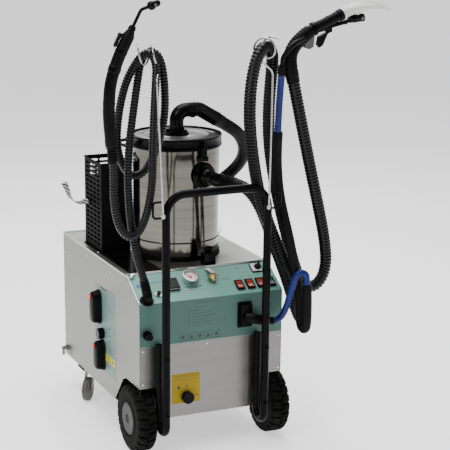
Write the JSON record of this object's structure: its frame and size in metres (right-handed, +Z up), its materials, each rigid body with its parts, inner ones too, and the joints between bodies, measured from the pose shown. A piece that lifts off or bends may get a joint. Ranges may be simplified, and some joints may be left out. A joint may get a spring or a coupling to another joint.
{
  "type": "steam and wet vacuum cleaning machine",
  "caption": "Wheeled stainless cleaning cabinet with a mint console, suction drum, push handle, hose stands, steam gun and extraction hand tool.",
  "frame": {"origin": "on the floor under the middle of the cabinet", "axes": "+Z up, +X to the right of someone facing the console, +Y from the console to the rear"},
  "size_m": [1.0733, 1.0447, 1.6889],
  "materials": {
    "stainless": "satin brushed stainless sheet",
    "mint_paint": "satin mint green paint",
    "black_paint": "satin black powder coat",
    "black_plastic": "matt moulded",
    "chrome": "polished",
    "tyre": "block tread",
    "grey_hub": "satin grey",
    "black_rubber": "ribbed",
    "blue_hose": "smooth blue sleeve",
    "red_switch": "translucent red",
    "green_switch": "dark green",
    "brass": "machined",
    "clear_nozzle": "frosted clear moulding",
    "webbing": "woven",
    "internals": "plain",
    "needle": "red"
  },
  "bodies": {
    "chassis": {"base_frame": "black_paint", "basket": "black_paint", "basket_strap": "webbing", "black_steam_hose": "black_rubber", "blue_hose_lower": "blue_hose", "blue_hose_upper": "blue_hose", "boiler": "stainless", "console_bezels": "black_plastic", "control_console": "mint_paint", "drain_cock": "chrome", "drum_shell": "stainless", "filler_box": "black_plastic", "gauge_case": "chrome", "gun_lance": "black_plastic", "inlet_fitting": "black_plastic", "left_hose_stand": "chrome", "left_side_panel": "stainless", "left_steam_hose": "black_rubber", "loop_hose": "black_rubber", "lower_front_panel": "stainless", "push_handle": "black_paint", "rear_panel": "stainless", "right_hose_stand": "chrome", "right_side_panel": "stainless", "side_outlets": "black_plastic", "steam_gun_body": "black_plastic", "steam_plug": "black_plastic", "tool_body": "black_plastic", "tool_nozzle": "clear_nozzle", "top_cover": "stainless", "top_mat": "black_rubber", "vacuum_hose": "black_rubber", "vacuum_motor": "internals", "valve_body": "brass"},
    "left_wheel": {"tyre_left": "tyre", "rim_left": "grey_hub"},
    "right_wheel": {"tyre_right": "tyre", "rim_right": "grey_hub"},
    "left_caster": {"caster_fork_left": "black_paint"},
    "left_caster_wheel": {"caster_wheel_left": "black_rubber"},
    "right_caster": {"caster_fork_right": "black_paint"},
    "right_caster_wheel": {"caster_wheel_right": "black_rubber"},
    "lid": {"drum_lid": "black_plastic", "lid_elbow": "black_plastic"},
    "lid_handle": {"lid_handle": "black_plastic"},
    "lid_latch": {"lid_latch": "chrome"},
    "rocker_1": {"rocker_1": "red_switch"},
    "rocker_2": {"rocker_2": "red_switch"},
    "rocker_3": {"rocker_3": "red_switch"},
    "rocker_4": {"rocker_4": "green_switch"},
    "rotary_switch": {"rotary_knob": "black_plastic"},
    "gauge_needle": {"gauge_needle": "needle"},
    "valve_lever": {"valve_lever": "chrome"},
    "front_cap": {"front_cap": "black_plastic"},
    "regulator_knob": {"regulator_knob": "black_plastic"},
    "side_knob": {"side_knob": "black_plastic"},
    "outlet_button_upper": {"outlet_button_upper": "red_switch"},
    "outlet_button_lower": {"outlet_button_lower": "red_switch"},
    "gun_trigger": {"gun_trigger": "black_plastic"},
    "tool_trigger": {"tool_trigger": "black_plastic"}
  },
  "joints": [
    {"name": "left_wheel_spin", "type": "hinge", "parent": "chassis", "child": "left_wheel", "pos_m": [-0.274, -0.369, 0.128], "axis": [1, 0, 0], "continuous": true},
    {"name": "right_wheel_spin", "type": "hinge", "parent": "chassis", "child": "right_wheel", "pos_m": [0.274, -0.369, 0.128], "axis": [1, 0, 0], "continuous": true},
    {"name": "left_caster_swivel", "type": "hinge", "parent": "chassis", "child": "left_caster", "pos_m": [-0.248, 0.236, 0.12], "axis": [0, 0, 1], "continuous": true},
    {"name": "left_caster_wheel_spin", "type": "hinge", "parent": "left_caster", "child": "left_caster_wheel", "pos_m": [-0.274, 0.202, 0.05], "axis": [0.7944, -0.6074, 0], "continuous": true},
    {"name": "right_caster_swivel", "type": "hinge", "parent": "chassis", "child": "right_caster", "pos_m": [0.248, 0.236, 0.12], "axis": [0, 0, 1], "continuous": true},
    {"name": "right_caster_wheel_spin", "type": "hinge", "parent": "right_caster", "child": "right_caster_wheel", "pos_m": [0.222, 0.202, 0.05], "axis": [0.7944, -0.6074, 0], "continuous": true},
    {"name": "lid_lift", "type": "slide", "parent": "chassis", "child": "lid", "axis": [0, 0, 1], "range_m": [0, 0.12], "deforming": ["loop_hose"]},
    {"name": "lid_handle_tilt", "type": "hinge", "parent": "lid", "child": "lid_handle", "pos_m": [-0.163, -0.035, 1.118], "axis": [0, 1, 0], "range_deg": [-20, 75]},
    {"name": "lid_latch_open", "type": "hinge", "parent": "chassis", "child": "lid_latch", "pos_m": [0.06437, -0.21295, 1.062], "axis": [0.9703, 0.2419, 0], "range_deg": [0, 100]},
    {"name": "rocker_1_tip", "type": "hinge", "parent": "chassis", "child": "rocker_1", "pos_m": [0.128, -0.40553, 0.61418], "axis": [1, 0, 0], "range_deg": [0, 10]},
    {"name": "rocker_2_tip", "type": "hinge", "parent": "chassis", "child": "rocker_2", "pos_m": [0.171, -0.40553, 0.61418], "axis": [1, 0, 0], "range_deg": [0, 10]},
    {"name": "rocker_3_tip", "type": "hinge", "parent": "chassis", "child": "rocker_3", "pos_m": [0.214, -0.40553, 0.61418], "axis": [1, 0, 0], "range_deg": [0, 10]},
    {"name": "rocker_4_tip", "type": "hinge", "parent": "chassis", "child": "rocker_4", "pos_m": [0.257, -0.40553, 0.61418], "axis": [1, 0, 0], "range_deg": [0, 10]},
    {"name": "rotary_switch_turn", "type": "hinge", "parent": "chassis", "child": "rotary_switch", "pos_m": [0.233, -0.34053, 0.66134], "axis": [0, -0.5145, 0.8575], "range_deg": [-120, 60]},
    {"name": "gauge_needle_turn", "type": "hinge", "parent": "chassis", "child": "gauge_needle", "pos_m": [-0.054, -0.36094, 0.6526], "axis": [0, -0.5145, 0.8575], "range_deg": [-270, 0]},
    {"name": "valve_lever_turn", "type": "hinge", "parent": "chassis", "child": "valve_lever", "pos_m": [0.031, -0.37226, 0.66614], "axis": [0, 0, 1], "range_deg": [-90, 0]},
    {"name": "front_cap_turn", "type": "hinge", "parent": "chassis", "child": "front_cap", "pos_m": [-0.261, -0.455, 0.472], "axis": [0, -1, 0], "range_deg": [0, 360]},
    {"name": "regulator_turn", "type": "hinge", "parent": "chassis", "child": "regulator_knob", "pos_m": [-0.101, -0.45, 0.211], "axis": [0, -1, 0], "range_deg": [-90, 180]},
    {"name": "side_knob_turn", "type": "hinge", "parent": "chassis", "child": "side_knob", "pos_m": [-0.3, -0.04, 0.366], "axis": [-1, 0, 0], "range_deg": [-90, 180]},
    {"name": "upper_outlet_press", "type": "slide", "parent": "chassis", "child": "outlet_button_upper", "axis": [1, 0, 0], "range_m": [0, 0.0035], "stiffness_N_per_m": 800},
    {"name": "lower_outlet_press", "type": "slide", "parent": "chassis", "child": "outlet_button_lower", "axis": [1, 0, 0], "range_m": [0, 0.0035], "stiffness_N_per_m": 800},
    {"name": "gun_trigger_squeeze", "type": "hinge", "parent": "chassis", "child": "gun_trigger", "pos_m": [-0.38263, -0.514, 1.57681], "axis": [0, -1, 0], "range_deg": [0, 3], "stiffness_Nm_per_rad": 1.5},
    {"name": "tool_trigger_squeeze", "type": "hinge", "parent": "chassis", "child": "tool_trigger", "pos_m": [0.404, -0.535, 1.563], "axis": [0, 1, 0], "range_deg": [0, 8], "stiffness_Nm_per_rad": 1.5}
  ]
}
